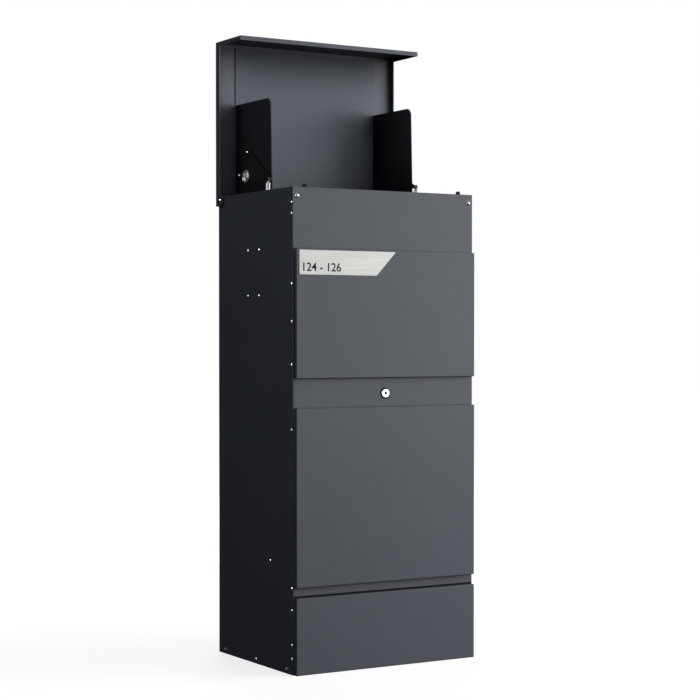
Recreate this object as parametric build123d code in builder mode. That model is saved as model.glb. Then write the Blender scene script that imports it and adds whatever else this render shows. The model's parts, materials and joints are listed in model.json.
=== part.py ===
from build123d import *
import math
import os

os.makedirs("parts", exist_ok=True)

# Cabinet envelope
HALF_WIDTH = 222.0
HEIGHT = 1000.0
FRONT_Y = -165.5
FACE_Y = -177.5
REAR_Y = 169.1
CENTRE_SHIFT = 2.1
SHEET = 2.0
SKIN = 1.5
INNER_X = HALF_WIDTH - SHEET

# Raised front panels
PANEL_HALF_WIDTH = 219.7
BEND = 1.2
PLINTH_TOP = 158.0
DOOR_PANEL_BOTTOM = 180.1
DOOR_PANEL_TOP = 546.8
FLAP_BOTTOM = 608.3
FLAP_TOP = 874.3

# Door plate and its pivot
DOOR_HALF_WIDTH = 219.4
DOOR_RETURN_X = 218.8
DOOR_PLATE_BOTTOM = 161.5
DOOR_PLATE_TOP = 607.6
DOOR_PIVOT_Y = -160.0
DOOR_PIVOT_Z = 177.3
DOOR_RETURN_BACK = -150.0

# Letter flap pivot and letter slot
FLAP_PIVOT_Y = -171.0
FLAP_PIVOT_Z = 870.5
FLAP_RETURN_BACK = -168.5
LUG_X = 150.0
LUG_LENGTH = 12.0
SLOT_HALF_WIDTH = 170.0
SLOT_BOTTOM = 745.0
SLOT_TOP = 785.0

# Lid, open and upright
LID_PIVOT_Y = 157.0
LID_PIVOT_Z = 992.0
LID_HALF_WIDTH = 225.8
LID_BACK_Y = 174.5
LID_TOP = 1338.4
LID_LIP_FRONT = 57.5
LID_HEM = 9.5
LID_FLANGE_FRONT = 158.0
LID_PLATE_BOTTOM = 979.5
LID_EAR_RADIUS = 15.0
LID_EAR_RISE = 6.0
LINER_HALF_WIDTH = 179.0
LINER_THICKNESS = 2.0
LINER_SHEET = 1.2
LINER_BOTTOM = 1002.0
LINER_TOP = 1330.0

# Guards and parcel tray
GUARD_OUTER_X = 178.5
GUARD_TOP = 1203.5
GUARD_BOTTOM = 998.5
GUARD_FRONT_TOP = 11.0
GUARD_FRONT_BOTTOM = 4.5
GUARD_CORNER = 17.0
TRAY_FRONT = 6.5
TRAY_BOTTOM = 999.5

# Lid dampers
DAMPER_X = 187.5
DAMPER_Y = 5.0
ROD_RADIUS = 5.2
ROD_BOTTOM = 770.0
ROD_TOP = 1022.8
TUBE_RADIUS = 8.0
TUBE_BORE = 5.25
TUBE_BOTTOM = 560.0
TUBE_TOP = 819.0
EYE_Z = 1028.5
STUD_Y = 100.5
STUD_Z = 1094.0
LINK_INNER_X = 179.2
LINK_OUTER_X = 182.2
LINK_WIDTH = 6.4
STUD_END_X = 188.7

# Stop bolt on each guard, clamped through a cupped washer
STOP_Y = 119.0
STOP_Z = 1044.0
STOP_END_X = 197.0
STOP_WASHER_RADIUS = 14.0

# Rivets on each side panel
RIVET_SHANK = 1.6
RIVET_HOLE = 2.0
RIVET_HEAD = 3.1
RIVET_RISE = 1.3
COLUMN_Y = -159.5
TOP_COLUMN_Z = (968.5, 946.0, 802.0, 725.0, 636.0)
STOP_RIVET_Z = 503.0
PLINTH_COLUMN_Z = (132.4, 61.5, 32.8)
STAY_RIVET = (-67.5, 226.0)
BRACKET_RIVETS_Y = (-17.9, 32.5)
BRACKET_RIVETS_Z = (780.2, 876.8)
BASE_ROW_Z = 10.0
BASE_RIVET_Y = -3.5
BASE_SLOTS_Y = (136.5, -140.5)
BASE_SLOT_HALF_LENGTH = 6.0
BASE_SLOT_HALF_HEIGHT = 3.0

# Cam lock on the door strip
LOCK_X = 0.0
LOCK_Z = 575.0
LOCK_FACE_RADIUS = 9.0
LOCK_BODY_RADIUS = 7.5
PLUG_RADIUS = 5.0

SIDES = ((-1, "left"), (1, "right"))


def box(x0, x1, y0, y1, z0, z1, mode=Mode.ADD):
    with Locations(((x0 + x1) / 2, (y0 + y1) / 2, (z0 + z1) / 2)):
        Box(abs(x1 - x0), abs(y1 - y0), abs(z1 - z0), mode=mode)


def rod_x(x0, x1, y, z, radius, mode=Mode.ADD):
    with Locations(((x0 + x1) / 2, y, z)):
        Cylinder(radius, abs(x1 - x0), rotation=(0, 90, 0), mode=mode)


def rod_y(y0, y1, x, z, radius, mode=Mode.ADD):
    with Locations((x, (y0 + y1) / 2, z)):
        Cylinder(radius, abs(y1 - y0), rotation=(90, 0, 0), mode=mode)


def rod_z(z0, z1, x, y, radius, mode=Mode.ADD):
    with Locations((x, y, (z0 + z1) / 2)):
        Cylinder(radius, abs(z1 - z0), mode=mode)


def base_slot(x0, x1, y, gap, mode):
    length = BASE_SLOT_HALF_LENGTH - gap
    height = BASE_SLOT_HALF_HEIGHT - gap
    box(x0, x1, y - length, y + length, BASE_ROW_Z - height, BASE_ROW_Z + height, mode)


def edges_at(part, axis, x=None, y=None, z=None):
    edges = part.edges().filter_by(axis)
    for value, name in ((x, "X"), (y, "Y"), (z, "Z")):
        if value is not None:
            edges = edges.filter_by(lambda e, v=value, n=name: abs(getattr(e.center(), n) - v) < 0.01)
    return edges


def fold_front(part):
    front = part.faces().sort_by(Axis.Y)[0]
    fillet(front.edges(), BEND)


def dome(position, rotation, radius, rise):
    curve = (radius * radius + rise * rise) / (2 * rise)
    latitude = math.degrees(math.asin((curve - rise) / curve))
    with Locations(Location(position, rotation)):
        Sphere(curve, arc_size1=latitude, align=(Align.CENTER, Align.CENTER, Align.MIN))


def hexagon(position, normal, radius, half):
    with BuildSketch(Plane(origin=position, z_dir=normal)) as outline:
        RegularPolygon(radius, 6)
    extrude(outline.sketch, amount=half, both=True)


def rivet_positions():
    column = [(COLUMN_Y, z) for z in TOP_COLUMN_Z + PLINTH_COLUMN_Z]
    bracket = [(y, z) for y in BRACKET_RIVETS_Y for z in BRACKET_RIVETS_Z]
    return column + bracket + [(BASE_RIVET_Y, BASE_ROW_Z), STAY_RIVET]


def save(solid, name):
    placed = solid.part.moved(Location((0, CENTRE_SHIFT, 0)))
    placed.label = name
    export_step(placed, "parts/" + name + ".step")


# Cabinet: side panels
for side, tag in SIDES:
    with BuildPart() as side_panel:
        box(side * INNER_X, side * HALF_WIDTH, FRONT_Y, REAR_Y, 0, HEIGHT)
        fillet(edges_at(side_panel.part, Axis.Z, x=side * HALF_WIDTH), BEND)
        for y, z in rivet_positions() + [(COLUMN_Y, STOP_RIVET_Z)]:
            rod_x(side * 219, side * 223, y, z, RIVET_HOLE, Mode.SUBTRACT)
        rod_x(side * 219, side * 223, DOOR_PIVOT_Y, DOOR_PIVOT_Z, 2.0, Mode.SUBTRACT)
        rod_x(side * 219, side * 223, LID_PIVOT_Y, LID_PIVOT_Z, 3.0, Mode.SUBTRACT)
        for y in BASE_SLOTS_Y:
            base_slot(side * 219, side * 223, y, 0, Mode.SUBTRACT)
    save(side_panel, "side_panel_" + tag)

# Cabinet: rear panel
with BuildPart() as rear_panel:
    box(-INNER_X, INNER_X, REAR_Y - SHEET, REAR_Y, 0, 990)
save(rear_panel, "rear_panel")

# Cabinet: floor pan with upturned flanges and four anchor holes
with BuildPart() as base_plate:
    box(-INNER_X, INNER_X, FRONT_Y + SHEET, REAR_Y - SHEET, 0, SHEET)
    box(-INNER_X, INNER_X, REAR_Y - 2 * SHEET, REAR_Y - SHEET, SHEET, 20)
    for side, tag in SIDES:
        box(side * (INNER_X - SHEET), side * INNER_X, -148, REAR_Y - 2 * SHEET, SHEET, 20)
        rod_x(side * 217, side * 221, BASE_RIVET_Y, BASE_ROW_Z, RIVET_HOLE, Mode.SUBTRACT)
        for y in BASE_SLOTS_Y:
            base_slot(side * 217, side * 221, y, 0, Mode.SUBTRACT)
    for x in (-150, 150):
        for y in (-106, 114):
            rod_z(-1, 3, x, y, 5.5, Mode.SUBTRACT)
save(base_plate, "base_plate")

# Cabinet: sill panel behind the plinth cover
with BuildPart() as sill_panel:
    box(-INNER_X, INNER_X, FRONT_Y, FRONT_Y + SHEET, 0, PLINTH_TOP)
    box(-INNER_X, INNER_X, FRONT_Y + SHEET, -148, PLINTH_TOP - SHEET, PLINTH_TOP)
    for side, tag in SIDES:
        box(side * (INNER_X - SHEET), side * INNER_X, FRONT_Y + SHEET, -150, 22, PLINTH_TOP - SHEET)
        for z in PLINTH_COLUMN_Z:
            rod_x(side * 217, side * 221, COLUMN_Y, z, RIVET_HOLE, Mode.SUBTRACT)
save(sill_panel, "sill_panel")

# Cabinet: raised plinth cover
with BuildPart() as plinth_panel:
    box(-PANEL_HALF_WIDTH, PANEL_HALF_WIDTH, FACE_Y, FRONT_Y, 0, PLINTH_TOP)
    fold_front(plinth_panel.part)
    inner = PANEL_HALF_WIDTH - SKIN
    box(-inner, inner, FACE_Y + SKIN, FRONT_Y, SKIN, PLINTH_TOP - SKIN, Mode.SUBTRACT)
save(plinth_panel, "plinth_panel")

# Cabinet: fixed front panel with the letter slot
with BuildPart() as front_panel:
    bottom = FLAP_BOTTOM + 1
    box(-INNER_X, INNER_X, FRONT_Y, FRONT_Y + SHEET, bottom, HEIGHT)
    box(-INNER_X, INNER_X, FRONT_Y + SHEET, -150, HEIGHT - SHEET, HEIGHT)
    fillet(edges_at(front_panel.part, Axis.X, y=FRONT_Y, z=HEIGHT), BEND)
    box(-210, 210, FRONT_Y + SHEET, -149, bottom, bottom + SHEET)
    for side, tag in SIDES:
        box(side * (INNER_X - SHEET), side * INNER_X, FRONT_Y + SHEET, -150, 620, HEIGHT - SHEET)
        for z in TOP_COLUMN_Z:
            rod_x(side * 217, side * 221, COLUMN_Y, z, RIVET_HOLE, Mode.SUBTRACT)
        rod_y(FRONT_Y - 1, FRONT_Y + 3, side * 211.8, 981.5, 2.5, Mode.SUBTRACT)
        rod_z(HEIGHT - 3, HEIGHT + 1, side * 190, -157, 2.4, Mode.SUBTRACT)
    box(-SLOT_HALF_WIDTH, SLOT_HALF_WIDTH, FRONT_Y - 1, FRONT_Y + 3, SLOT_BOTTOM, SLOT_TOP, Mode.SUBTRACT)
save(front_panel, "front_panel")

# Cabinet: lugs that carry the letter flap's hinge rod
with BuildPart() as flap_lugs:
    for side, tag in SIDES:
        x0 = side * LUG_X
        x1 = side * (LUG_X + LUG_LENGTH)
        box(x0, x1, FLAP_PIVOT_Y - 3, FRONT_Y, FLAP_PIVOT_Z - 2.5, FLAP_PIVOT_Z + 2.5)
        rod_x(side * 149, side * 163, FLAP_PIVOT_Y, FLAP_PIVOT_Z, 1.55, Mode.SUBTRACT)
save(flap_lugs, "flap_lugs")

# Cabinet: dome-head screws through the top of the front panel, with nuts
with BuildPart() as front_screws:
    for side, tag in SIDES:
        x = side * 211.8
        dome((x, FRONT_Y - 0.6, 981.5), (90, 0, 0), 4.7, 2.6)
        rod_y(FRONT_Y - 0.6, FRONT_Y, x, 981.5, 4.7)
        rod_y(FRONT_Y, FRONT_Y + 7, x, 981.5, 2.0)
        hexagon((x, FRONT_Y + SHEET + 1.5, 981.5), (0, 1, 0), 3.9, 1.5)
save(front_screws, "front_screws")

# Cabinet: rubber buffers on the front rim
with BuildPart() as rim_buffers:
    for side, tag in SIDES:
        x = side * 190
        rod_z(HEIGHT, HEIGHT + 5.0, x, -157, 4.8)
        dome((x, -157, HEIGHT + 5.0), (0, 0, 0), 4.8, 2.0)
        rod_z(HEIGHT - 4, HEIGHT, x, -157, 2.0)
save(rim_buffers, "rim_buffers")

# Cabinet: small dome rivets on each side
for side, tag in SIDES:
    turn = (0, 90 * side, 0)
    with BuildPart() as side_rivets:
        for y, z in rivet_positions():
            dome((side * HALF_WIDTH, y, z), turn, RIVET_HEAD, RIVET_RISE)
            depth = SHEET if (y, z) == STAY_RIVET else 2 * SHEET
            rod_x(side * HALF_WIDTH, side * (HALF_WIDTH - depth), y, z, RIVET_SHANK)
            rod_x(side * (HALF_WIDTH - depth), side * (HALF_WIDTH - depth - 1.2), y, z, 2.6)
        dome((side * HALF_WIDTH, COLUMN_Y, STOP_RIVET_Z), turn, RIVET_HEAD, RIVET_RISE)
        rod_x(side * HALF_WIDTH, side * 219.1, COLUMN_Y, STOP_RIVET_Z, RIVET_SHANK)
    save(side_rivets, "side_rivets_" + tag)

# Cabinet: oblong fixings of the floor pan
for side, tag in SIDES:
    with BuildPart() as base_fixings:
        for y in BASE_SLOTS_Y:
            base_slot(side * 216.5, side * (HALF_WIDTH + 1.8), y, 0.4, Mode.ADD)
        tips = base_fixings.part.faces().group_by(Axis.X)[-1 if side > 0 else 0]
        fillet(tips.edges(), 1.3)
    save(base_fixings, "base_fixings_" + tag)

# Cabinet: stop tabs behind the door's side returns
for side, tag in SIDES:
    with BuildPart() as door_stop:
        box(side * 219, side * INNER_X, -163.5, -147.8, STOP_RIVET_Z - 10, STOP_RIVET_Z + 10)
        box(side * 204, side * 219, -149.3, -147.8, STOP_RIVET_Z - 10, STOP_RIVET_Z + 10)
        rod_x(side * 218, side * 221, COLUMN_Y, STOP_RIVET_Z, RIVET_HOLE, Mode.SUBTRACT)
    save(door_stop, "door_stop_" + tag)

# Cabinet: pivot pins of the door
with BuildPart() as door_pivot_pins:
    for side, tag in SIDES:
        dome((side * HALF_WIDTH, DOOR_PIVOT_Y, DOOR_PIVOT_Z), (0, 90 * side, 0), RIVET_HEAD, RIVET_RISE)
        rod_x(side * 213, side * HALF_WIDTH, DOOR_PIVOT_Y, DOOR_PIVOT_Z, 2.0)
save(door_pivot_pins, "door_pivot_pins")

# Cabinet: hinge pins of the lid, headed outside and nutted inside
for side, tag in SIDES:
    with BuildPart() as lid_pin:
        x = LID_HALF_WIDTH + 0.3
        dome((side * (x + 0.8), LID_PIVOT_Y, LID_PIVOT_Z), (0, 90 * side, 0), 5.5, 2.2)
        rod_x(side * x, side * (x + 0.8), LID_PIVOT_Y, LID_PIVOT_Z, 5.5)
        rod_x(side * 213, side * x, LID_PIVOT_Y, LID_PIVOT_Z, 3.0)
        rod_x(side * 215.5, side * INNER_X, LID_PIVOT_Y, LID_PIVOT_Z, 5.5)
    save(lid_pin, "lid_pin_" + tag)

# Cabinet: damper brackets and damper tubes
for side, tag in SIDES:
    with BuildPart() as damper_bracket:
        box(side * (INNER_X - SHEET), side * INNER_X, -27, 41, 768, 889)
        for z in (780, 814):
            box(side * (DAMPER_X - 9.7), side * (INNER_X - SHEET), DAMPER_Y - 11, DAMPER_Y + 11, z, z + 3)
            rod_z(z - 1, z + 4, side * DAMPER_X, DAMPER_Y, TUBE_RADIUS, Mode.SUBTRACT)
        for y in BRACKET_RIVETS_Y:
            for z in BRACKET_RIVETS_Z:
                rod_x(side * 217, side * 221, y, z, RIVET_HOLE, Mode.SUBTRACT)
    save(damper_bracket, "damper_bracket_" + tag)
    with BuildPart() as damper_tube:
        rod_z(TUBE_BOTTOM, TUBE_TOP, side * DAMPER_X, DAMPER_Y, TUBE_RADIUS)
        rod_z(TUBE_BOTTOM + 3, TUBE_TOP + 1, side * DAMPER_X, DAMPER_Y, TUBE_BORE, Mode.SUBTRACT)
    save(damper_tube, "damper_tube_" + tag)

# Dampers: sliding rods and their end blocks
for side, tag in SIDES:
    with BuildPart() as damper_rod:
        rod_z(ROD_BOTTOM, ROD_TOP - 2.5, side * DAMPER_X, DAMPER_Y, ROD_RADIUS)
        dome((side * DAMPER_X, DAMPER_Y, ROD_TOP - 2.5), (0, 0, 0), ROD_RADIUS, 2.5)
        rod_z(ROD_TOP - 1, ROD_TOP + 1, side * DAMPER_X, DAMPER_Y, 2.4)
    save(damper_rod, "damper_rod_" + tag)
    with BuildPart() as rod_end:
        x = LINK_OUTER_X + 0.4
        box(side * x, side * (DAMPER_X + 2), DAMPER_Y - 3.4, DAMPER_Y + 3.4, ROD_TOP + 1, EYE_Z + 3.6)
    save(rod_end, "rod_end_" + tag)

# Links between the lid's studs and the damper rods
for side, tag in SIDES:
    with BuildPart() as lid_link:
        reach_y = STUD_Y - DAMPER_Y
        reach_z = STUD_Z - EYE_Z
        length = math.hypot(reach_y, reach_z)
        tilt = math.degrees(math.atan2(reach_y, reach_z))
        middle = ((LINK_INNER_X + LINK_OUTER_X) / 2 * side, (STUD_Y + DAMPER_Y) / 2, (STUD_Z + EYE_Z) / 2)
        with Locations(Location(middle, (-tilt, 0, 0))):
            Box(LINK_OUTER_X - LINK_INNER_X, LINK_WIDTH, length)
        for y, z in ((STUD_Y, STUD_Z), (DAMPER_Y, EYE_Z)):
            rod_x(side * LINK_INNER_X, side * LINK_OUTER_X, y, z, 4.2)
        rod_x(side * LINK_OUTER_X, side * (LINK_OUTER_X + 0.3), DAMPER_Y, EYE_Z, 2.6)
        rod_x(side * (LINK_INNER_X - 1), side * (LINK_OUTER_X + 1), STUD_Y, STUD_Z, 2.55, Mode.SUBTRACT)
    save(lid_link, "lid_link_" + tag)

# Lid: folded outer shell
with BuildPart() as lid_shell:
    back_inner = LID_BACK_Y - SHEET
    flange_inner = LID_HALF_WIDTH - SHEET
    box(-LID_HALF_WIDTH, LID_HALF_WIDTH, back_inner, LID_BACK_Y, LID_PLATE_BOTTOM, LID_TOP)
    box(-LID_HALF_WIDTH, LID_HALF_WIDTH, LID_LIP_FRONT, LID_BACK_Y, LID_TOP - SHEET, LID_TOP)
    box(-LID_HALF_WIDTH, LID_HALF_WIDTH, LID_LIP_FRONT, LID_LIP_FRONT + SHEET, LID_TOP - LID_HEM, LID_TOP)
    for side, tag in SIDES:
        x0 = side * flange_inner
        x1 = side * LID_HALF_WIDTH
        box(x0, x1, LID_LIP_FRONT, LID_BACK_Y, LID_TOP - LID_HEM, LID_TOP)
        box(x0, x1, LID_FLANGE_FRONT, LID_BACK_Y, LID_PIVOT_Z, LID_TOP)
        box(x0, x1, LID_PIVOT_Y - LID_EAR_RADIUS, LID_BACK_Y, LID_PIVOT_Z, LID_PIVOT_Z + LID_EAR_RISE)
        box(x0, x1, LID_PIVOT_Y, LID_BACK_Y, LID_PLATE_BOTTOM, LID_PIVOT_Z)
        rod_x(x0, x1, LID_PIVOT_Y, LID_PIVOT_Z, LID_EAR_RADIUS)
        rod_x(side * 223, side * 227, LID_PIVOT_Y, LID_PIVOT_Z, 3.05, Mode.SUBTRACT)
    shell = lid_shell.part
    folds = edges_at(shell, Axis.X, y=LID_BACK_Y, z=LID_TOP)
    folds = folds + edges_at(shell, Axis.X, y=LID_LIP_FRONT, z=LID_TOP)
    for side, tag in SIDES:
        folds = folds + edges_at(shell, Axis.Y, x=side * LID_HALF_WIDTH, z=LID_TOP)
    fillet(folds, BEND)
save(lid_shell, "lid_shell")

# Lid: inner liner sheet
LINER_BACK = LID_BACK_Y - SHEET
LINER_FRONT = LINER_BACK - LINER_THICKNESS
with BuildPart() as lid_liner:
    box(-LINER_HALF_WIDTH, LINER_HALF_WIDTH, LINER_FRONT, LINER_BACK, LINER_BOTTOM, LINER_TOP)
    inner = LINER_HALF_WIDTH - LINER_SHEET
    z0 = LINER_BOTTOM + LINER_SHEET
    z1 = LINER_TOP - LINER_SHEET
    box(-inner, inner, LINER_FRONT + LINER_SHEET, LINER_BACK, z0, z1, Mode.SUBTRACT)
save(lid_liner, "lid_liner")

# Lid: side guards, tray, link studs and stop bolts
for side, tag in SIDES:
    with BuildPart() as guard:
        with BuildSketch(Plane.YZ.offset(side * GUARD_OUTER_X)):
            with BuildLine():
                Polyline(
                    (LINER_FRONT, GUARD_BOTTOM + 3.5),
                    (LINER_FRONT, GUARD_TOP),
                    (GUARD_FRONT_TOP, GUARD_TOP),
                    (GUARD_FRONT_BOTTOM, GUARD_BOTTOM),
                    (LID_PIVOT_Y - 10, GUARD_BOTTOM),
                    close=True,
                )
            make_face()
        extrude(amount=-side * SHEET)
        corner = guard.part.edges().filter_by(Axis.X).group_by(Axis.Z)[-1].sort_by(Axis.Y)[0]
        fillet(corner, GUARD_CORNER)
        rod_x(side * (GUARD_OUTER_X - 3), side * (GUARD_OUTER_X + 1), STUD_Y, STUD_Z, 1.5, Mode.SUBTRACT)
    save(guard, "guard_" + tag)
    with BuildPart() as link_stud:
        rod_x(side * GUARD_OUTER_X, side * (LINK_OUTER_X + 0.3), STUD_Y, STUD_Z, 2.5)
        rod_x(side * (LINK_OUTER_X + 0.3), side * STUD_END_X, STUD_Y, STUD_Z, 3.2)
        dome((side * STUD_END_X, STUD_Y, STUD_Z), (0, 90 * side, 0), 3.2, 1.4)
        rod_x(side * (GUARD_OUTER_X - 1.8), side * GUARD_OUTER_X, STUD_Y, STUD_Z, 1.5)
    save(link_stud, "link_stud_" + tag)
    with BuildPart() as stop_washer:
        x = GUARD_OUTER_X
        rod_x(side * x, side * (x + 3), STOP_Y, STOP_Z, STOP_WASHER_RADIUS)
        rod_x(side * (x + 1.5), side * (x + 4), STOP_Y, STOP_Z, STOP_WASHER_RADIUS - 2.5, Mode.SUBTRACT)
        rod_x(side * (x - 1), side * (x + 4), STOP_Y, STOP_Z, 3.4, Mode.SUBTRACT)
    save(stop_washer, "stop_washer_" + tag)
    with BuildPart() as stop_bolt:
        rod_x(side * x, side * STOP_END_X, STOP_Y, STOP_Z, 3.0)
        dome((side * STOP_END_X, STOP_Y, STOP_Z), (0, 90 * side, 0), 3.0, 2.0)
        hexagon((side * (x + 3.5), STOP_Y, STOP_Z), (1, 0, 0), 5.2, 2)
    save(stop_bolt, "stop_bolt_" + tag)
with BuildPart() as parcel_tray:
    tray_half = GUARD_OUTER_X - SHEET
    box(-tray_half, tray_half, TRAY_FRONT, LINER_BACK, TRAY_BOTTOM, TRAY_BOTTOM + SHEET)
save(parcel_tray, "parcel_tray")

# Letter flap: folded panel, rod and name plate
with BuildPart() as flap_panel:
    box(-PANEL_HALF_WIDTH, PANEL_HALF_WIDTH, FACE_Y, FLAP_RETURN_BACK, FLAP_BOTTOM, FLAP_TOP)
    fold_front(flap_panel.part)
    inner = PANEL_HALF_WIDTH - SKIN
    box(-inner, inner, FACE_Y + SKIN, FRONT_Y, FLAP_BOTTOM + SKIN, FLAP_TOP - SKIN, Mode.SUBTRACT)
    box(-inner, inner, FLAP_PIVOT_Y, FRONT_Y, FLAP_TOP - SKIN, FLAP_TOP, Mode.SUBTRACT)
    for side, tag in SIDES:
        x0 = side * (LUG_X - 2)
        x1 = side * (LUG_X + LUG_LENGTH + 2)
        box(x0, x1, FACE_Y + SKIN, FRONT_Y, FLAP_TOP - 2 * SKIN, FLAP_TOP, Mode.SUBTRACT)
    rod_x(-221, 221, FLAP_PIVOT_Y, FLAP_PIVOT_Z, 1.5, Mode.SUBTRACT)
save(flap_panel, "flap_panel")

with BuildPart() as flap_rod:
    rod_x(-PANEL_HALF_WIDTH, PANEL_HALF_WIDTH, FLAP_PIVOT_Y, FLAP_PIVOT_Z, 1.5)
save(flap_rod, "flap_rod")

with BuildPart() as name_plate:
    with BuildSketch(Plane.XZ.offset(-FACE_Y)):
        with BuildLine():
            Polyline((-213.7, 820.8), (-213.7, 871.0), (18.3, 871.0), (-29.0, 820.8), close=True)
        make_face()
    extrude(amount=1.2)
save(name_plate, "name_plate")

# Door: recessed plate with returns
with BuildPart() as door_plate:
    plate_back = FRONT_Y + SKIN
    width = DOOR_HALF_WIDTH
    box(-width, width, FRONT_Y, plate_back, DOOR_PLATE_BOTTOM, DOOR_PLATE_TOP)
    box(-DOOR_RETURN_X, DOOR_RETURN_X, plate_back, -152, DOOR_PLATE_TOP - SKIN, DOOR_PLATE_TOP)
    for side, tag in SIDES:
        x0 = side * (DOOR_RETURN_X - SKIN)
        x1 = side * DOOR_RETURN_X
        box(x0, x1, plate_back, DOOR_RETURN_BACK, 171, DOOR_PLATE_TOP - SKIN)
        rod_x(side * 216, side * 220, DOOR_PIVOT_Y, DOOR_PIVOT_Z, 2.05, Mode.SUBTRACT)
    rod_y(FRONT_Y - 1, plate_back + 1, LOCK_X, LOCK_Z, LOCK_BODY_RADIUS + 0.2, Mode.SUBTRACT)
save(door_plate, "door_plate")

# Door: raised outer panel
with BuildPart() as door_panel:
    box(-PANEL_HALF_WIDTH, PANEL_HALF_WIDTH, FACE_Y, FRONT_Y, DOOR_PANEL_BOTTOM, DOOR_PANEL_TOP)
    fold_front(door_panel.part)
    inner = PANEL_HALF_WIDTH - SKIN
    z0 = DOOR_PANEL_BOTTOM + SKIN
    z1 = DOOR_PANEL_TOP - SKIN
    box(-inner, inner, FACE_Y + SKIN, FRONT_Y, z0, z1, Mode.SUBTRACT)
save(door_panel, "door_panel")

# Door: lock housing and its nut
with BuildPart() as lock_housing:
    rod_y(FRONT_Y - 2.4, FRONT_Y, LOCK_X, LOCK_Z, LOCK_FACE_RADIUS)
    rim = lock_housing.part.edges().filter_by(GeomType.CIRCLE).sort_by(Axis.Y)[0]
    fillet(rim, 0.9)
    rod_y(FRONT_Y, -147, LOCK_X, LOCK_Z, LOCK_BODY_RADIUS)
    rod_y(FRONT_Y - 3, -146, LOCK_X, LOCK_Z, PLUG_RADIUS + 0.05, Mode.SUBTRACT)
save(lock_housing, "lock_housing")

with BuildPart() as lock_nut:
    hexagon((LOCK_X, FRONT_Y + SKIN + 2, LOCK_Z), (0, 1, 0), 12, 2)
    rod_y(FRONT_Y, -158, LOCK_X, LOCK_Z, LOCK_BODY_RADIUS, Mode.SUBTRACT)
save(lock_nut, "lock_nut")

# Lock: turning plug with keyway, cam and cam screw
with BuildPart() as lock_plug:
    rod_y(FRONT_Y - 2.6, -146.6, LOCK_X, LOCK_Z, PLUG_RADIUS)
    box(-0.7, 0.7, FRONT_Y - 3, FRONT_Y + 8, LOCK_Z - 2.8, LOCK_Z + 3.2, Mode.SUBTRACT)
save(lock_plug, "lock_plug")

with BuildPart() as lock_cam:
    box(LOCK_X - 8, LOCK_X + 42, -146.6, -144.1, LOCK_Z - 8, LOCK_Z + 8)
    fillet(lock_cam.part.edges().filter_by(Axis.Y), 5)
    rod_y(-147, -144, LOCK_X, LOCK_Z, 2.1, Mode.SUBTRACT)
save(lock_cam, "lock_cam")

with BuildPart() as cam_screw:
    rod_y(-146.6, -144.1, LOCK_X, LOCK_Z, 2.1)
    hexagon((LOCK_X, -142.6, LOCK_Z), (0, 1, 0), 4.6, 1.5)
save(cam_screw, "cam_screw")
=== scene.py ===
import json
import math

import bmesh
import bpy
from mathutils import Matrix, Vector


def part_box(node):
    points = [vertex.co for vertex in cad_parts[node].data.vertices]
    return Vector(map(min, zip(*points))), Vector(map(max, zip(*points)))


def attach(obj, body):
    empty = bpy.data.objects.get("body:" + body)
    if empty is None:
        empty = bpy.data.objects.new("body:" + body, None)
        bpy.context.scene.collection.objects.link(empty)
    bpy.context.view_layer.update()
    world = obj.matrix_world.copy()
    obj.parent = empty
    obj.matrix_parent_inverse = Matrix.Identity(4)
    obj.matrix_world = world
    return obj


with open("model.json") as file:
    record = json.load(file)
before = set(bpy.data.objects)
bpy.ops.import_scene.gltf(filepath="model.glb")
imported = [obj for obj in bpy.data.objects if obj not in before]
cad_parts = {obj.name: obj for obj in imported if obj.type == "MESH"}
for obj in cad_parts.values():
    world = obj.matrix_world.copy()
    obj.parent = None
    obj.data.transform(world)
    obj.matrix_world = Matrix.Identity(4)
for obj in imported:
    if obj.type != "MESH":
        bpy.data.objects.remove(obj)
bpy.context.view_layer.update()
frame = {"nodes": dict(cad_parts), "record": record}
nodes = frame["nodes"]
scene = bpy.context.scene
scene.view_settings.view_transform = "Standard"
scene.view_settings.look = "None"

# Camera, as fitted to the photograph
PICTURE_PX = 700.0
SENSOR_MM = 36.0
FOCAL_PX = 1813.78
CAMERA_PLACE = (-2.02167, -3.39847, 0.69234)
CAMERA_YAW, CAMERA_PITCH = 30.8916, 1.033
CAMERA_SHIFT = 0.0286

# Studio
FLOOR_HALF = 30.0
LIGHT_TARGET = (0.0, -0.1, 0.65)
LIGHT_DISTANCE = 4.0
WORLD_SEEN, WORLD_LIGHT = 1.0, 0.012
NEUTRAL = (1.0, 1.0, 1.0)
COOL = (0.86, 0.96, 1.12)
BROAD, WIDE, SMALL, SPARK = 2.0, 3.0, 0.9, 0.8

# (name, azimuth, elevation, width, power, colour)
SOFT_LIGHTS = (
    ("key_low", 40, 1, BROAD, 52, NEUTRAL),
    ("front_low", 10, 6, BROAD, 17, NEUTRAL),
    ("key_side", 70, 9, BROAD, 82, NEUTRAL),
    ("key_high", 45, 30, BROAD, 26, NEUTRAL),
    ("side_top", 70, 55, BROAD, 14, NEUTRAL),
    ("front", 0, 28, BROAD, 12, NEUTRAL),
    ("top", 0, 86, WIDE, 14, NEUTRAL),
    ("fill", -65, 30, SMALL, 9, COOL),
    ("rim", -110, 20, SMALL, 7, COOL),
)
# Lights the back and the top, without a reflection on the closed lid
MATT_LIGHT = ("rear", 155, 20, BROAD, 90, NEUTRAL)
# Seen only as small reflections, in the rivets and other rounded metal
SPARK_LIGHTS = (
    ("spark_high", -100, 30, SPARK, 42, NEUTRAL),
    ("spark_low", -75, 10, SPARK, 42, NEUTRAL),
)

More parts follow.
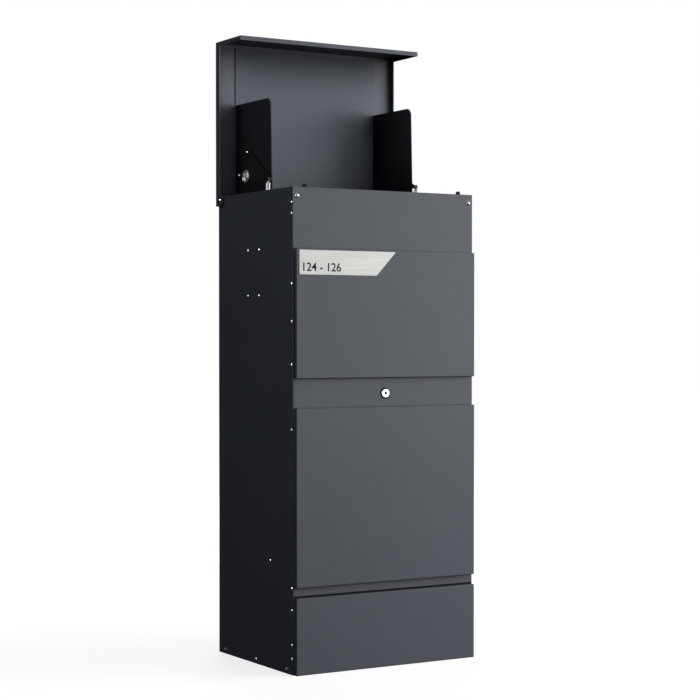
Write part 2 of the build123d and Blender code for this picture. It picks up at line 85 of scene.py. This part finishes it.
# Powder coat tones, from the darker to the lighter patches
COAT = ((0.081, 0.091, 0.110), (0.089, 0.100, 0.121))
# Lighter copies of the coat for the lid and its inside: painted light that offsets their painted
# shade
LID_LIT_COAT = ((0.083, 0.094, 0.114), (0.091, 0.103, 0.125))
LINER_LIT_COAT = ((0.145, 0.160, 0.187), (0.156, 0.172, 0.202))
GUARD_COAT = ((0.032, 0.036, 0.043), (0.039, 0.044, 0.052))
BLACK_COAT = ((0.010, 0.011, 0.013), (0.015, 0.016, 0.019))
# Pale tone for the base fixings that stands in for their metal's highlight: painted highlight
PALE_HIGHLIGHT_CAP = ((0.74, 0.74, 0.73), (0.82, 0.82, 0.81))
# Tint of the painted shade where other surfaces come near
PAINTED_SHADE_TINT = (0.13, 0.15, 0.18, 1.0)
# Tint of the paler edges, partly edge wear and partly painted highlight
EDGE_WEAR_AND_HIGHLIGHT_TINT = (0.34, 0.35, 0.37, 1.0)
COAT_ROUGH = (0.46, 0.56)
EDGE_RADIUS = 0.0006
# Reach of the painted shade on the lid, its inside and the guards; on the inside it is tipped to
# fall as from above
LID_REACH = 0.2
LINER_PAINTED_SHADE = {"painted_shade": 0.95, "reach": LID_REACH, "lean": 0.7, "clear": 0.60}
# Openness over which the painted shade fades out
PAINTED_SHADE_SPAN = 0.35

# The colour sockets of a Mix node
MIX_A, MIX_B, MIX_RESULT = 6, 7, 2


def add_camera():
    yaw, pitch = math.radians(CAMERA_YAW), math.radians(CAMERA_PITCH)
    data = bpy.data.cameras.new("camera")
    data.sensor_width = SENSOR_MM
    data.lens = FOCAL_PX * SENSOR_MM / PICTURE_PX
    data.shift_y = CAMERA_SHIFT
    data.clip_end = 2 * FLOOR_HALF
    camera = bpy.data.objects.new("camera", data)
    camera.location = CAMERA_PLACE
    forward = Vector(
        (math.sin(yaw) * math.cos(pitch), math.cos(yaw) * math.cos(pitch), -math.sin(pitch))
    )
    camera.rotation_euler = forward.to_track_quat("-Z", "Y").to_euler()
    scene.collection.objects.link(camera)
    scene.camera = camera


def area_light(name, azimuth, elevation, width, power, colour):
    """A square light aimed at the cabinet; azimuth 0 is in front and 90 on the right."""
    target = Vector(LIGHT_TARGET)
    turn, lift = math.radians(azimuth), math.radians(elevation)
    data = bpy.data.lights.new(name, "AREA")
    data.shape = "RECTANGLE"
    data.size, data.size_y = width, width
    data.energy = power
    data.color = colour
    light = bpy.data.objects.new(name, data)
    light.location = target + LIGHT_DISTANCE * Vector(
        (math.sin(turn) * math.cos(lift), -math.cos(turn) * math.cos(lift), math.sin(lift))
    )
    light.rotation_euler = (target - light.location).to_track_quat("-Z", "Y").to_euler()
    scene.collection.objects.link(light)
    return light


def add_stage():
    mesh = bpy.data.meshes.new("studio_floor")
    signs = ((-1, -1), (1, -1), (1, 1), (-1, 1))
    corners = [(FLOOR_HALF * x, FLOOR_HALF * y, 0) for x, y in signs]
    mesh.from_pydata(corners, [], [(0, 1, 2, 3)])
    floor = bpy.data.objects.new("studio_floor", mesh)
    scene.collection.objects.link(floor)
    floor.visible_diffuse = False
    floor.visible_glossy = False
    b = Build("studio_floor")
    place = b.node("TexCoord")
    gradient = b.node("TexGradient", gradient_type="SPHERICAL")
    mapping = b.node("Mapping", Scale=(0.28, 0.28, 0.28))
    b.link(place.outputs["Object"], mapping.inputs["Vector"])
    b.link(mapping.outputs["Vector"], gradient.inputs["Vector"])
    glow = b.span(gradient.outputs["Fac"], 1.0, 0.78, 0.0, 0.8)
    b.link(glow, b.shader.inputs["Emission Strength"])
    b.set(Base_Color=(0.4, 0.4, 0.4, 1), Emission_Color=(1, 1, 1, 1), Roughness=1.0)
    b.set(Specular_IOR_Level=0.0)
    mesh.materials.append(b.material)

    world = bpy.data.worlds.new("studio")
    scene.world = world
    world.use_nodes = True
    tree = world.node_tree
    background = tree.nodes["Background"]
    path = tree.nodes.new("ShaderNodeLightPath")
    level = tree.nodes.new("ShaderNodeMapRange")
    level.inputs["To Min"].default_value = WORLD_LIGHT
    level.inputs["To Max"].default_value = WORLD_SEEN
    tree.links.new(path.outputs["Is Camera Ray"], level.inputs["Value"])
    tree.links.new(level.outputs["Result"], background.inputs["Strength"])
    background.inputs["Color"].default_value = (1, 1, 1, 1)

    for row in SOFT_LIGHTS:
        area_light(*row)
    area_light(*MATT_LIGHT).visible_glossy = False
    for row in SPARK_LIGHTS:
        area_light(*row).visible_diffuse = False


class Build:
    """A new material and short calls that add and link its nodes."""

    def __init__(self, name):
        self.material = bpy.data.materials.new(name)
        self.material.use_nodes = True
        self.tree = self.material.node_tree
        self.shader = self.tree.nodes["Principled BSDF"]

    def node(self, kind, **values):
        node = self.tree.nodes.new("ShaderNode" + kind)
        for key, value in values.items():
            if key in node.inputs:
                node.inputs[key].default_value = value
            else:
                setattr(node, key, value)
        return node

    def link(self, source, target):
        self.tree.links.new(source, target)

    def set(self, **values):
        for key, value in values.items():
            self.shader.inputs[key.replace("_", " ")].default_value = value

    def coordinates(self, scale=(1, 1, 1)):
        place = self.node("TexCoord")
        mapping = self.node("Mapping", Scale=scale)
        self.link(place.outputs["Object"], mapping.inputs["Vector"])
        return mapping.outputs["Vector"]

    def noise(self, scale, detail=2.0, roughness=0.5, vector=None):
        node = self.node("TexNoise", Scale=scale, Detail=detail, Roughness=roughness)
        self.link(vector or self.coordinates(), node.inputs["Vector"])
        return node.outputs["Fac"]

    def span(self, value, low, high, start=0.3, stop=0.7):
        node = self.node("MapRange")
        node.inputs["From Min"].default_value = start
        node.inputs["From Max"].default_value = stop
        node.inputs["To Min"].default_value = low
        node.inputs["To Max"].default_value = high
        self.link(value, node.inputs["Value"])
        return node.outputs["Result"]

    def ramp(self, value, stops):
        node = self.node("ValToRGB")
        elements = node.color_ramp.elements
        while len(elements) < len(stops):
            elements.new(0.5)
        for element, (position, colour) in zip(elements, stops):
            element.position = position
            element.color = (*colour, 1.0)
        self.link(value, node.inputs["Fac"])
        return node.outputs["Color"]

    def mix(self, factor, colour, **values):
        node = self.node("Mix", data_type="RGBA", **values)
        self.link(factor, node.inputs["Factor"])
        self.link(colour, node.inputs[MIX_A])
        return node

    def bump(self, heights, normal=None):
        """Stack bumps of (height socket, distance in metres, strength) on a starting normal."""
        for height, distance, strength in heights:
            node = self.node("Bump", Distance=distance, Strength=strength)
            self.link(height, node.inputs["Height"])
            if normal is not None:
                self.link(normal, node.inputs["Normal"])
            normal = node.outputs["Normal"]
        self.link(normal, self.shader.inputs["Normal"])


def tone_with_painted_shade(b, tones, cloud, normal, painted_shade, reach, lean, clear):
    """Patchy colour with painted shade, darker where other surfaces come near.

    The painted shade's strength is how much darker, reach is how near in metres, lean tips the side
    that has to be open upwards so the painted shade falls as from above, and clear is the openness
    at which it ends.
    """
    coat = b.ramp(cloud, [(0.3, tones[0]), (0.7, tones[1])])
    corner = b.node("AmbientOcclusion", Distance=reach, samples=16)
    if lean:
        upward = b.node("VectorMath", operation="ADD")
        upward.inputs[1].default_value = (0.0, 0.0, lean)
        b.link(normal, upward.inputs[0])
        unit = b.node("VectorMath", operation="NORMALIZE")
        b.link(upward.outputs["Vector"], unit.inputs[0])
        b.link(unit.outputs["Vector"], corner.inputs["Normal"])
    # Painted shade: the less open the surface, the darker its colour
    shade = b.span(corner.outputs["AO"], painted_shade, 0.0, clear - PAINTED_SHADE_SPAN, clear)
    shaded_coat = b.mix(shade, coat, blend_type="MULTIPLY")
    shaded_coat.inputs[MIX_B].default_value = PAINTED_SHADE_TINT
    return shaded_coat.outputs[MIX_RESULT]


def inside_of_lid(b):
    """1 on the inner face of the lid's large plate and 0 on its other faces."""
    place = b.node("TexCoord")
    side, where = b.node("SeparateXYZ"), b.node("SeparateXYZ")
    b.link(place.outputs["Normal"], side.inputs["Vector"])
    b.link(place.outputs["Object"], where.inputs["Vector"])
    inward = b.node("Math", operation="MULTIPLY")
    b.link(b.span(side.outputs["Y"], 1.0, 0.0, -0.9, -0.5), inward.inputs[0])
    b.link(b.span(where.outputs["Y"], 0.0, 1.0, 0.10, 0.12), inward.inputs[1])
    return inward.outputs["Value"]


def powder_coat(
    name, tones, rough=COAT_ROUGH, peel=1.0, edge_wear_and_highlight=0.07, painted_shade=0.3, gloss=0.37, reach=0.006,
    lean=0.0, clear=0.95, lined=False,
):
    """Textured paint with paler edges, partly edge wear and partly painted highlight, and painted
    shade where other surfaces come near; lined gives the lid's inside a lighter tone, painted
    light, with a painted shade of its own.
    """
    b = Build(name)
    cloud = b.noise(3.5, 3.0)
    peel_waves = b.noise(420.0, 2.0, 0.55)
    fine = b.noise(1500.0, 2.0, 0.6)
    round_edges = b.node("Bevel", Radius=EDGE_RADIUS, samples=4)
    flat = b.node("NewGeometry").outputs["Normal"]
    facing = b.node("VectorMath", operation="DOT_PRODUCT")
    b.link(round_edges.outputs["Normal"], facing.inputs[0])
    b.link(flat, facing.inputs[1])
    # Paler edges: partly edge wear, partly painted highlight
    edge = b.span(facing.outputs["Value"], edge_wear_and_highlight, 0.0, 0.80, 0.99)
    # Painted shade near other surfaces
    tone = tone_with_painted_shade(b, tones, cloud, flat, painted_shade, reach, lean, clear)
    # The lid's inside gets the lighter tone, painted light, and its own painted shade
    if lined:
        faced = b.mix(inside_of_lid(b), tone)
        b.link(tone_with_painted_shade(b, LINER_LIT_COAT, cloud, flat, **LINER_PAINTED_SHADE), faced.inputs[MIX_B])
        tone = faced.outputs[MIX_RESULT]
    worn_and_lit_edges = b.mix(edge, tone)
    worn_and_lit_edges.inputs[MIX_B].default_value = EDGE_WEAR_AND_HIGHLIGHT_TINT
    b.link(worn_and_lit_edges.outputs[MIX_RESULT], b.shader.inputs["Base Color"])
    b.link(b.span(fine, *rough), b.shader.inputs["Roughness"])
    waves = [(peel_waves, 0.00006, 0.5 * peel), (fine, 0.00003, 0.5 * peel)]
    b.bump(waves, round_edges.outputs["Normal"])
    b.set(Specular_IOR_Level=gloss)
    return b.material


def plated_metal(name, colour, rough, scale=(60.0, 60.0, 2600.0)):
    b = Build(name)
    ground = b.noise(1.0, 2.0, 0.5, b.coordinates(scale))
    film = b.noise(70.0, 3.0)
    tone = tuple(c * 0.9 for c in colour)
    b.link(b.ramp(film, [(0.3, tone), (0.7, colour)]), b.shader.inputs["Base Color"])
    b.link(b.span(ground, *rough), b.shader.inputs["Roughness"])
    b.bump([(ground, 0.00001, 0.12)])
    b.set(Metallic=1.0)
    return b.material


def turned_metal(name, centre, rough):
    """Lathe-turned disc facing sideways, with fine rings about its centre in Y and Z."""
    b = Build(name)
    place = b.node("TexCoord")
    mapping = b.node("Mapping", Location=(0.0, -centre[0], -centre[1]))
    b.link(place.outputs["Object"], mapping.inputs["Vector"])
    rings = b.node("TexWave", wave_type="RINGS", rings_direction="X", Scale=320.0, Distortion=0.6)
    rings.inputs["Detail Scale"].default_value = 2.0
    b.link(mapping.outputs["Vector"], rings.inputs["Vector"])
    lines = rings.outputs["Fac"]
    tone = b.ramp(lines, [(0.0, (0.80, 0.80, 0.80)), (1.0, (0.92, 0.92, 0.92))])
    b.link(tone, b.shader.inputs["Base Color"])
    b.link(b.span(lines, *rough, 0.0, 1.0), b.shader.inputs["Roughness"])
    b.bump([(lines, 0.0004, 0.8)])
    b.set(Metallic=1.0)
    return b.material


def steel_plate(name):
    """Brushed stainless with a satin lacquer and horizontal grain."""
    b = Build(name)
    streaks = b.noise(1.0, 3.0, 0.6, b.coordinates((7, 300, 420)))
    grain = b.noise(1.0, 4.0, 0.75, b.coordinates((14, 900, 1900)))
    tone = b.ramp(streaks, [(0.25, (0.50, 0.495, 0.477)), (0.75, (0.64, 0.635, 0.616))])
    fine = b.node("Mix", data_type="RGBA", blend_type="OVERLAY")
    fine.inputs["Factor"].default_value = 0.35
    b.link(tone, fine.inputs[MIX_A])
    b.link(b.ramp(grain, [(0.3, (0.4, 0.4, 0.4)), (0.7, (0.6, 0.6, 0.6))]), fine.inputs[MIX_B])
    b.link(fine.outputs[MIX_RESULT], b.shader.inputs["Base Color"])
    b.link(b.span(grain, 0.42, 0.54), b.shader.inputs["Roughness"])
    b.bump([(streaks, 0.00006, 0.2), (grain, 0.00003, 0.3)])
    b.set(Metallic=0.4)
    return b.material


def zinc_plate(name):
    b = Build(name)
    cells = b.node("TexVoronoi", Scale=260.0, feature="F1")
    b.link(b.coordinates(), cells.inputs["Vector"])
    tint = b.node("SeparateColor")
    b.link(cells.outputs["Color"], tint.inputs["Color"])
    colour = b.ramp(tint.outputs["Red"], [(0.0, (0.50, 0.51, 0.53)), (1.0, (0.66, 0.67, 0.68))])
    b.link(colour, b.shader.inputs["Base Color"])
    b.link(b.span(tint.outputs["Green"], 0.34, 0.46, 0.0, 1.0), b.shader.inputs["Roughness"])
    b.bump([(b.noise(900.0, 2.0), 0.00003, 0.2)])
    b.set(Metallic=1.0)
    return b.material


def rubber(name):
    b = Build(name)
    fine = b.noise(1200.0, 2.0)
    tone = b.ramp(fine, [(0.3, (0.010, 0.010, 0.011)), (0.7, (0.02, 0.02, 0.021))])
    b.link(tone, b.shader.inputs["Base Color"])
    b.link(b.span(fine, 0.6, 0.75), b.shader.inputs["Roughness"])
    b.bump([(fine, 0.0001, 0.3)])
    b.set(Specular_IOR_Level=0.2)
    return b.material


def printed_ink(name):
    b = Build(name)
    fine = b.noise(2500.0, 2.0)
    tone = b.ramp(fine, [(0.3, (0.006, 0.006, 0.007)), (0.7, (0.012, 0.012, 0.013))])
    b.link(tone, b.shader.inputs["Base Color"])
    b.link(b.span(fine, 0.7, 0.8), b.shader.inputs["Roughness"])
    b.set(Specular_IOR_Level=0.15)
    return b.material


MATERIALS = {
    # Every powder coat carries painted shade near other surfaces and paler edges, partly edge wear
    # and partly painted highlight
    "coat": powder_coat("coat", COAT),
    "dark_coat": powder_coat("dark_coat", BLACK_COAT, (0.4, 0.5), 0.6, 0.04, 0.5, 0.3),
    "zinc": zinc_plate("zinc"),
    "bright": plated_metal("bright", (0.90, 0.90, 0.90), (0.30, 0.40), (500.0, 500.0, 500.0)),
    "chrome": plated_metal("chrome", (0.86, 0.86, 0.87), (0.14, 0.22)),
    "brushed": steel_plate("brushed"),
    "rubber": rubber("rubber"),
}
washer_low, washer_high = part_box("stop_washer_left")
washer_centre = [(washer_low[axis] + washer_high[axis]) / 2 for axis in (1, 2)]

# Nodes with a material of their own instead of their slot's
# Guards: painted shade over a long reach darkens them towards the lid
guard_coat = powder_coat(
    "guard_coat", GUARD_COAT, peel=0.8, edge_wear_and_highlight=0.04, painted_shade=1.0, gloss=0.14, reach=LID_REACH
)
satin = plated_metal("satin", (0.40, 0.41, 0.43), (0.40, 0.50))
# Base fixings: pale colour standing in for the metal's highlight, painted highlight
pale_highlight_cap = powder_coat("pale_highlight_cap", PALE_HIGHLIGHT_CAP, (0.35, 0.45), gloss=0.5)
turned = turned_metal("turned", washer_centre, (0.28, 0.4))
# Lid: painted shade over a long reach, and painted light in the lighter tone of its inside
lid_coat = powder_coat("lid_coat", LID_LIT_COAT, painted_shade=0.9, reach=LID_REACH, lined=True)
liner_coat = powder_coat("liner_coat", LINER_LIT_COAT, gloss=0.22, **LINER_PAINTED_SHADE)
# Side panels: strongly paler edges, painted highlight on their front edges
side_coat_lit_edges = powder_coat("side_coat_lit_edges", COAT, edge_wear_and_highlight=0.4)
SPECIAL = {
    "guard_left": guard_coat,
    "guard_right": guard_coat,
    "parcel_tray": guard_coat,
    "stop_washer_left": turned,
    "stop_washer_right": turned,
    "lid_shell": lid_coat,
    "lid_liner": liner_coat,
    "side_panel_left": side_coat_lit_edges,
    "side_panel_right": side_coat_lit_edges,
    "damper_rod_left": satin,
    "damper_rod_right": satin,
    "base_fixings_left": pale_highlight_cap,
    "base_fixings_right": pale_highlight_cap,
}
for row in frame["record"]["subparts"]:
    piece = nodes[row["node"]]
    piece.data.materials.clear()
    piece.data.materials.append(SPECIAL.get(row["node"], MATERIALS[row["material_slot"]]))


def add_number():
    """Generic number in thin raised ink on the name plate."""
    size, half_thickness, stroke = 0.0245, 0.0001, 0.00035
    margin_left, margin_below, sunk = 0.0085, 0.0066, 0.00007
    plate_left, plate_face, plate_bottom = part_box("name_plate")[0]
    curve = bpy.data.curves.new("plate_number", "FONT")
    curve.body = "124 - 126"
    curve.size = size
    curve.extrude = half_thickness
    curve.offset = stroke
    curve.resolution_u = 6
    text = bpy.data.objects.new("plate_number_outline", curve)
    scene.collection.objects.link(text)
    bpy.context.view_layer.update()
    seen = text.evaluated_get(bpy.context.evaluated_depsgraph_get())
    mesh = bpy.data.meshes.new_from_object(seen)
    bpy.data.objects.remove(text)
    left = min(v.co.x for v in mesh.vertices)
    base = min(v.co.y for v in mesh.vertices)
    for v in mesh.vertices:
        x, y, z = v.co
        v.co = (
            plate_left + margin_left + x - left,
            plate_face + sunk - z,
            plate_bottom + margin_below + y - base,
        )
    mesh.update()
    number = bpy.data.objects.new("plate_number", mesh)
    scene.collection.objects.link(number)
    mesh.materials.clear()
    mesh.materials.append(printed_ink("printed_ink"))
    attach(number, "flap")


def mesh_object(name, bm):
    """A new linked object with the bmesh, which is used up."""
    bmesh.ops.recalc_face_normals(bm, faces=bm.faces)
    mesh = bpy.data.meshes.new(name)
    bm.to_mesh(mesh)
    bm.free()
    piece = bpy.data.objects.new(name, mesh)
    scene.collection.objects.link(piece)
    return piece


def join_rings(bm, here, after):
    count = len(here)
    for i in range(count):
        j = (i + 1) % count
        bm.faces.new((here[i], here[j], after[j], after[i]))


def prisms(name, outlines, y_front, y_back, inset):
    """Flat prisms from (x, z) outlines, facing the front, with a bevelled front edge."""
    bm = bmesh.new()
    for outline in outlines:
        middle_x = sum(x for x, z in outline) / len(outline)
        middle_z = sum(z for x, z in outline) / len(outline)
        back = [bm.verts.new((x, y_back, z)) for x, z in outline]
        shoulder = [bm.verts.new((x, y_front + inset, z)) for x, z in outline]
        front = []
        for x, z in outline:
            across, along = x - middle_x, z - middle_z
            k = 1.0 - inset / math.hypot(across, along)
            front.append(bm.verts.new((middle_x + across * k, y_front, middle_z + along * k)))
        join_rings(bm, back, shoulder)
        join_rings(bm, shoulder, front)
        bm.faces.new(front)
        bm.faces.new(list(reversed(back)))
    return mesh_object(name, bm)


def add_lock_shade_ring():
    """Black ring between the lock's face and the door, standing in for the shadow in the gap around
    the lock: painted shadow.
    """
    steps, clearance = 64, 0.00005
    housing_low, housing_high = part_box("lock_housing")
    door_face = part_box("door_plate")[0][1]
    x0 = (housing_low[0] + housing_high[0]) / 2
    z0 = (housing_low[2] + housing_high[2]) / 2
    inner = (housing_high[0] - housing_low[0]) / 2 + clearance
    profile = (
        (inner, 0.0),
        (inner, 0.0007),
        (inner + 0.0006, 0.0010),
        (inner + 0.0026, 0.0008),
        (inner + 0.0030, 0.0),
    )
    bm = bmesh.new()
    rings = []
    for step in range(steps):
        angle = 2 * math.pi * step / steps
        rings.append(
            [
                bm.verts.new((x0 + r * math.cos(angle), door_face - rise, z0 + r * math.sin(angle)))
                for r, rise in profile
            ]
        )
    for step in range(steps):
        join_rings(bm, rings[step], rings[(step + 1) % steps])
    for face in bm.faces:
        face.smooth = True
    shade_ring = mesh_object("lock_shade_ring", bm)
    shade_ring.data.materials.append(MATERIALS["rubber"])
    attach(shade_ring, "door")


def add_keyway():
    """Dark pieces in two halves on the plug, either side of the key slot, standing in for the shade
    inside the keyway: painted shade.
    """
    radius, half_slot, raised, sunk, bevel = 0.0038, 0.00075, 0.00025, 0.0002, 0.00012
    arc_steps, lift = 16, 0.0002
    plug_low, plug_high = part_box("lock_plug")
    x0 = (plug_low[0] + plug_high[0]) / 2
    z0 = (plug_low[2] + plug_high[2]) / 2 + lift
    reach = math.acos(half_slot / radius)
    arc = [-reach + 2 * reach * i / arc_steps for i in range(arc_steps + 1)]
    outlines = [
        [(x0 + side * radius * math.cos(a), z0 + radius * math.sin(a)) for a in arc]
        for side in (-1, 1)
    ]
    dark_keyway = prisms("keyway_shade", outlines, plug_low[1] - raised, plug_low[1] + sunk, bevel)
    dark_keyway.data.materials.append(MATERIALS["dark_coat"])
    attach(dark_keyway, "lock")


add_number()
add_lock_shade_ring()
add_keyway()
add_camera()
add_stage()
